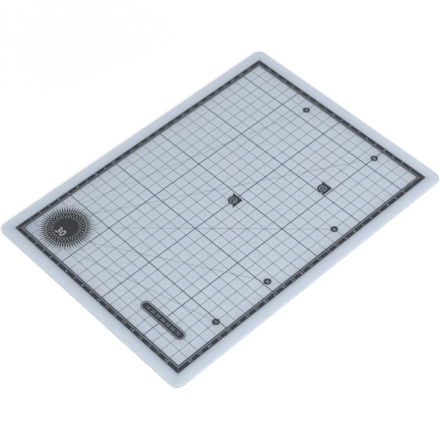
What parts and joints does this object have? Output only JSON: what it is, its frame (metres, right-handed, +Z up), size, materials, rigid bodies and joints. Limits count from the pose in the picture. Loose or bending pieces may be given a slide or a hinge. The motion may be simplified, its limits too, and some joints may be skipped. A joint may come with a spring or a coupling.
{
  "type": "cutting mat",
  "caption": "Flat rectangular cutting mat with rounded corners: soft vinyl plies bonded to a stiff core, with a dark printed centimetre grid, edge rulers and angle lines on the pale top.",
  "frame": {"origin": "centre of the underside", "axes": "+X along the short side, +Y along the long side towards the far ruler, +Z up out of the printed face; the rosette is in the corner at -X and -Y"},
  "size_m": [0.22, 0.3, 0.0021],
  "materials": {
    "soft_vinyl": "pale blue-grey, frosted and slightly see-through, fine matte grain",
    "rigid_vinyl": "pale grey, seen only at the cut edge",
    "print_ink": "charcoal screen-print ink, matte"
  },
  "bodies": {
    "root": {"bottom_cutting_ply": "soft_vinyl", "rigid_core_ply": "rigid_vinyl", "top_cutting_ply": "soft_vinyl", "ruler_strip_left": "print_ink", "ruler_strip_right": "print_ink", "ruler_strip_near": "print_ink", "ruler_strip_far": "print_ink", "label_bar_ink": "print_ink", "label_outline_ink": "print_ink", "lengthwise_lines_ink": "print_ink", "crosswise_lines_ink": "print_ink", "rosette_disc_ink": "print_ink", "rosette_rays_ink": "print_ink", "sheet_corner_small_ink": "print_ink", "sheet_corner_large_ink": "print_ink", "angle_mark_15": "print_ink", "angle_line_15": "print_ink", "angle_mark_30": "print_ink", "angle_line_30": "print_ink", "angle_mark_45": "print_ink", "angle_line_45": "print_ink", "angle_mark_60": "print_ink", "angle_line_60": "print_ink", "angle_mark_75": "print_ink", "angle_line_75": "print_ink"}
  },
  "joints": []
}
